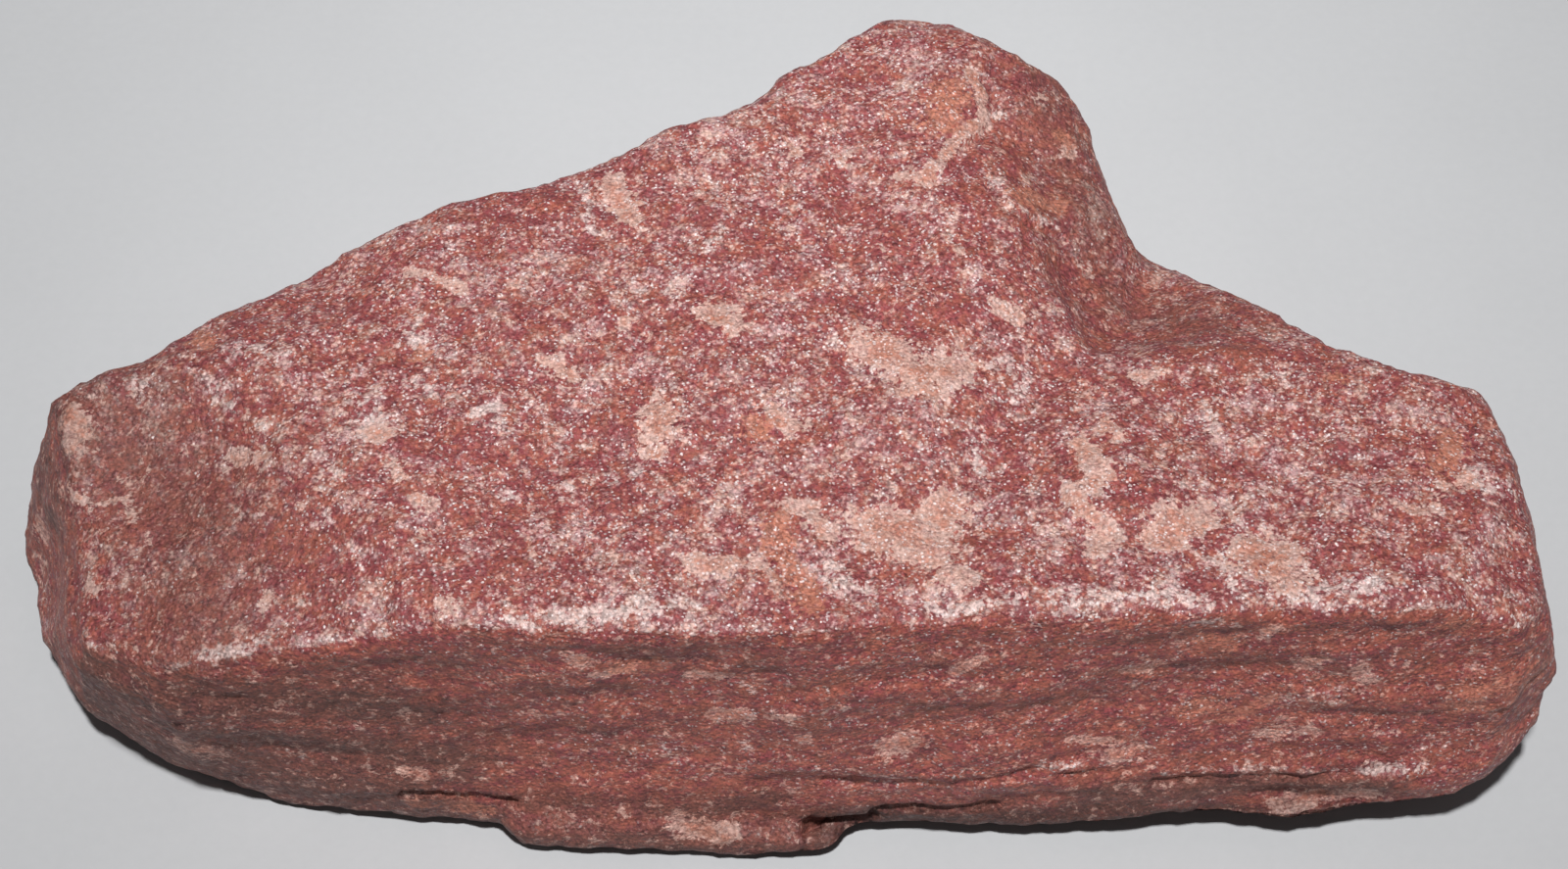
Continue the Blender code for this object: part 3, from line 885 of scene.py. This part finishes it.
class Quartzite(Recipe):
    """The stone's material, laid down in layers from its grains to its painted glints."""

    def __init__(self, colours):
        super().__init__("red quartzite")
        self.colours = colours
        self.skin = {name: self.attribute(name) for name in (*MARK_KINDS, *SKIN_FIELDS)}
        self.wall = self.skin["wall"]
        self.level = self.sum("SUBTRACT", 1.0, self.wall)
        self.spot = self.place(BED_DIP)

        # Noise of several sizes, from specks to whole regions; the walls have two of their own
        self.speck = self.noise(self.spot, (0.24, 0.24, 0.2), 2.0, 0.7)
        self.ragged = self.noise(self.spot, (1.15, 1.15, 0.9), 6.0, 0.72)
        self.clump = self.noise(self.spot, (3.4, 3.4, 1.8), 5.0, 0.68)
        self.region = self.noise(self.spot, (11.0, 11.0, 6.0), 3.0, 0.6)
        self.streak = self.noise(self.spot, (1.15, 1.15, 1.1), 5.0, 0.74)
        band = self.noise(self.spot, (3.8, 3.8, 2.6), 5.0, 0.68)
        self.fine = self.weighed(self.times(self.ragged, self.level), (self.streak, self.wall))
        self.broad = self.times(self.clump, self.level)
        self.broad = self.weighed(self.broad, (band, self.times(self.wall, 0.8)))

        # Grains and crumbs: each has three numbers of its own, and a middle paler than its rim
        rim, numbers = self.cells(self.bent(self.spot, 0.35, 0.14), (0.40, 0.40, 0.38))
        self.grain = [self.centred(number) for number in numbers]
        self.core = self.centred(self.step(rim, 0.66, 0.10))
        bent = self.bent(self.spot, 0.2, 0.10)
        self.crumb_rim, self.crumb = self.cells(bent, (0.20, 0.20, 0.18))

        # Shared by the layers: the lean to brick-red and cream, and ragged edges and gaps
        tint = self.noise(self.spot, (2.2, 2.2, 1.6), 5.0, 0.75, 0.3)
        dull = self.skin["dull"]
        self.tint = self.weighed(tint, (self.grain[1], 0.14), (self.wall, 0.05), (dull, 0.06))
        self.edge = self.weighed(0.0, (self.ragged, 1.5), (self.clump, 0.35), (self.grain[0], 0.25))
        self.cover = self.weighed(0.84, (self.streak, 1.9), (self.speck, 1.5), (self.wall, -0.32))

    def frost(self):
        """How bruised each place is by the listed marks, and with the worn ridges too."""
        crushed = self.weighed(0.0, (self.ragged, 1.9), (self.grain[2], 0.6), (self.clump, 0.8))
        bruise = self.step(self.more(self.skin["frost"], crushed), 0.42, 1.15)
        bruise = self.times(bruise, 0.85)
        worn = self.step(self.weighed(self.skin["wear"], (crushed, 1.6)), 0.85, 2.0)
        return bruise, self.sum("MAXIMUM", bruise, self.times(worn, 0.8))

    def grains(self, frost):
        """The grains' colours: pale pinkish ones, in clumps, among maroon and brick-red ones."""
        haze = self.weighed(
            0.0,
            (self.fine, 1.45),
            (self.broad, 1.12),
            (self.region, 0.45),
            (frost, 0.38),
            (self.grain[0], 0.21),
            (self.centred(self.crumb[0]), 0.20),
            (self.core, 0.16),
            (self.wall, -0.23),
            (self.skin["dull"], -0.08),
            (self.skin["hollow"], -0.12),
            (self.step(self.skin["maroon"], 0.3, 0.7), -0.25),
        )
        colours = self.colours
        base = self.blend(self.step(self.tint, -0.12, 0.18), colours.maroon, colours.brick)
        pale = self.blend(self.step(self.tint, -0.16, 0.16), colours.rose, colours.cream)
        pale = self.blend(self.step(frost, 0.2, 1.0), pale, colours.frosted)
        return self.blend(self.step(haze, -0.13, 0.35), base, pale)

    def with_film(self, colour, bruise):
        """The colour under the brown film of the worn faces, which is greyer on the walls."""
        film = self.step(self.more(self.skin["dull"], self.clump), 0.38, 0.92)
        film = self.times(film, self.weighed(0.42, (self.wall, 0.20)))
        film = self.times(film, self.weighed(1.0, (bruise, -0.8)))
        brown = self.blend(self.wall, self.colours.drab, self.colours.ash)
        return self.blend(film, colour, brown)

    def with_scales(self, colour):
        """The colour with pale scales, often with an orange middle, and the scales' share."""
        marked = self.weighed(self.edge, (self.skin["peach"], 0.9))
        scatter = self.noise(self.spot, (1.9, 1.9, 1.3), 5.0, 0.70, 0.5)
        scatter = self.weighed(scatter, (self.grain[1], 0.06))
        strewn = self.times(self.step(scatter, 0.115, 0.175), 0.8)
        share = self.sum("MAXIMUM", self.step(marked, 0.40, 0.53), strewn)
        share = self.sum("MULTIPLY", share, self.cover, clamp=True)
        inner = self.step(self.weighed(marked, (self.clump, 1.6), (self.tint, 1.1)), 0.60, 1.08)
        inner = self.sum("MAXIMUM", inner, self.step(scatter, 0.19, 0.28))
        scale = self.blend(self.times(inner, 0.85), self.colours.peach, self.colours.orange)
        milky = self.step(self.weighed(self.fine, (inner, -0.5)), -0.14, 0.14)
        milky = self.times(milky, self.times(self.level, 0.42))
        scale = self.blend(milky, scale, self.colours.frosted)
        return self.blend(share, colour, scale), share

    def with_flecks(self, colour):
        """The colour with small ragged pale spots, more on the walls, and the spots' share."""
        fleck = self.noise(self.spot, (0.9, 0.9, 0.85), 5.0, 0.66, 0.3)
        dull = self.skin["dull"]
        fleck = self.weighed(fleck, (self.grain[0], 0.07), (self.wall, 0.045), (dull, 0.022))
        share = self.sum("MULTIPLY", self.step(fleck, 0.125, 0.185), self.cover, clamp=True)
        pale = self.blend(self.step(self.tint, -0.1, 0.2), self.colours.cream, self.colours.peach)
        return self.blend(self.times(share, 0.88), colour, pale), share

    def with_patches(self, colour):
        """The colour with the listed orange-red patches."""
        share = self.step(self.weighed(self.edge, (self.skin["brick"], 0.9)), 0.38, 0.60)
        share = self.sum("MULTIPLY", share, self.cover, clamp=True)
        return self.blend(share, colour, self.colours.orange)

    def shade(self, pale):
        """How bright each place is: evener where it is pale, darker where dull, with painted shade
        underneath.
        """
        shade = self.weighed(
            0.0,
            (self.grain[1], 0.30),
            (self.speck, 1.1),
            (self.centred(self.crumb[1]), 0.60),
            (self.core, 0.21),
            (self.times(self.ragged, self.wall), 1.7),
        )
        shade = self.times(shade, self.weighed(1.0, (pale, -0.38)))
        shade = self.weighed(shade, (self.times(pale, self.wall), 0.34))
        shade = self.more(self.weighed(1.0, (self.wall, 0.17)), shade)
        shade = self.times(shade, self.weighed(1.0, (self.skin["dull"], -0.22)))
        # Painted shade on faces that look down, along the ledge and under the lifted foot
        return self.times(shade, self.weighed(1.0, (self.skin["under"], -0.6)))

    def painted_glints(self):
        """Painted glints: the share of tiny clear faces painted near-white, dense on the fresh upper
        face.
        """
        dull = self.skin["dull"]
        rarity = self.weighed(0.80, (dull, 0.16), (self.wall, 0.07), (self.clump, -0.40))
        lit = self.step(self.crumb[2], rarity, self.more(rarity, 0.16))
        lit = self.times(lit, self.step(self.crumb_rim, 0.70, 0.40))
        return self.times(lit, self.weighed(0.75, (self.core, 0.5)))

    def roughness(self, painted_glints):
        """Clear grains and the spots of the painted glints shine, dull faces don't."""
        clear = self.step(self.grain[2], 0.05, 0.5)
        dull = self.skin["dull"]
        rough = self.weighed(0.58, (clear, -0.22), (painted_glints, -0.25), (dull, 0.12))
        return self.sum("MAXIMUM", rough, 0.2)

    def grain_height(self):
        """Relief too fine for the mesh: domed grains and crumbs."""
        domes = ((self.grain[2], 0.5), (self.crumb[2], 0.35), (self.core, 0.6))
        return self.weighed(0.0, *domes, (self.fine, 1.6))


def quartzite(colours):
    """The stone's material: grains, film, scales, flecks, patches, painted shade and painted glints.
    """
    mix = Quartzite(colours)
    bruise, frost = mix.frost()
    colour = mix.with_film(mix.grains(frost), bruise)
    colour, scales = mix.with_scales(colour)
    colour, flecks = mix.with_flecks(colour)
    colour = mix.with_patches(colour)
    colour = mix.scaled(colour, mix.shade(mix.sum("MAXIMUM", scales, flecks)))
    painted_glints = mix.painted_glints()
    # Painted highlights: the glints are painted into the colour
    mix.put(mix.shader.inputs["Base Color"], mix.blend(painted_glints, colour, colours.painted_glint))
    mix.put(mix.shader.inputs["Roughness"], mix.roughness(painted_glints))
    mix.shader.inputs["IOR"].default_value = 1.54
    mix.bump(mix.grain_height(), 0.9, 0.12)
    return mix.material


def sheet_paper(colours):
    """The pale sheet below the stone: matt, with a faint tooth."""
    mix = Recipe("pale sheet")
    place = mix.place(0.0)
    tooth = mix.noise(place, (0.9, 0.9, 0.9), 3.0, 0.6)
    cloud = mix.noise(place, (16.0, 16.0, 16.0), 2.0, 0.5)
    shade = mix.more(mix.times(tooth, 0.5), mix.times(cloud, 0.5))
    shade = mix.sum("ADD", shade, 0.5, clamp=True)
    darker, lighter = (
        (*(share * part for part in colours.paper[:3]), 1.0) for share in PAPER_SHADES
    )
    mix.put(mix.shader.inputs["Base Color"], mix.blend(shade, darker, lighter))
    mix.shader.inputs["Roughness"].default_value = 0.9
    mix.shader.inputs["Specular IOR Level"].default_value = 0.2
    mix.bump(tooth, 0.25, 0.05)
    return mix.material


class STONE_OT_skin(bpy.types.Operator):
    """Builds the stone's skin over its solid."""

    bl_idname = "stone.skin"
    bl_label = "Stone skin"

    def execute(self, context):
        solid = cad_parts.get(NODE)
        if solid is None:
            raise RuntimeError("The packed model has no node " + NODE)
        mesh = dressed_skin(solid, context.scene.stone_skin)
        mesh.materials.append(quartzite(context.scene.stone_colours))
        skin = bpy.data.objects.new(SKIN, mesh)
        context.scene.collection.objects.link(skin)
        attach(skin, "root")
        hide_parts(NODE)
        return {"FINISHED"}


class STONE_OT_stage(bpy.types.Operator):
    """Adds the pale floor, the soft light, the room light and the camera."""

    bl_idname = "stone.stage"
    bl_label = "Floor, light and camera"

    def execute(self, context):
        scene = context.scene
        sizes = scene.stone_stage
        target = Vector(sizes.view_target)
        half = sizes.floor_side / 2
        sheet = bpy.data.meshes.new("floor")
        corners = [(-half, -half, 0.0), (half, -half, 0.0), (half, half, 0.0), (-half, half, 0.0)]
        sheet.from_pydata(corners, [], [(0, 1, 2, 3)])
        sheet.materials.append(sheet_paper(scene.stone_colours))
        floor = bpy.data.objects.new("floor", sheet)
        scene.collection.objects.link(floor)

        lamp = bpy.data.lights.new("soft light", "AREA")
        lamp.size = sizes.light_side
        lamp.spread = sizes.light_spread
        lamp.energy = sizes.light_power
        rise, turn = sizes.light_height, sizes.light_turn
        level_part = math.cos(rise)
        away = Vector((-math.sin(turn) * level_part, -math.cos(turn) * level_part, math.sin(rise)))
        light = bpy.data.objects.new("soft light", lamp)
        aim = target + Vector(sizes.light_aim)
        light.location = aim + away * sizes.light_distance
        light.rotation_euler = (-away).to_track_quat("-Z", "Y").to_euler()
        scene.collection.objects.link(light)

        room = bpy.data.worlds.new("room")
        room.use_nodes = True
        background = room.node_tree.nodes["Background"]
        background.inputs["Color"].default_value = ROOM_COLOUR
        background.inputs["Strength"].default_value = sizes.room_light
        scene.world = room

        lens = bpy.data.cameras.new("camera")
        lens.lens = sizes.lens
        lens.sensor_width = FRAME_WIDTH
        lens.clip_start = 0.001
        view = Vector((0.0, -math.cos(sizes.view_height), math.sin(sizes.view_height)))
        camera = bpy.data.objects.new("camera", lens)
        camera.location = target + view * sizes.view_distance
        camera.rotation_euler = (math.pi / 2 - sizes.view_height, 0.0, 0.0)
        scene.collection.objects.link(camera)
        scene.camera = camera
        scene.view_settings.view_transform = "Standard"
        return {"FINISHED"}


class STONE_PT_panel(bpy.types.Panel):
    """Lists the steps that build the stone."""

    bl_label = "Red quartzite stone"
    bl_space_type = "VIEW_3D"
    bl_region_type = "UI"
    bl_category = "Stone"

    def draw(self, context):
        for step in (STONE_OT_skin, STONE_OT_stage):
            self.layout.operator(step.bl_idname, text=step.bl_label)


CLASSES = (
    StoneSkinSizes,
    StoneColours,
    StoneStageSizes,
    STONE_OT_skin,
    STONE_OT_stage,
    STONE_PT_panel,
)


def register():
    for kind in CLASSES:
        bpy.utils.register_class(kind)
    bpy.types.Scene.stone_skin = PointerProperty(type=StoneSkinSizes)
    bpy.types.Scene.stone_colours = PointerProperty(type=StoneColours)
    bpy.types.Scene.stone_stage = PointerProperty(type=StoneStageSizes)


def unregister():
    del bpy.types.Scene.stone_stage
    del bpy.types.Scene.stone_colours
    del bpy.types.Scene.stone_skin
    for kind in reversed(CLASSES):
        bpy.utils.unregister_class(kind)


def main():
    register()
    bpy.ops.stone.skin()
    bpy.ops.stone.stage()


if __name__ == "__main__":
    main()
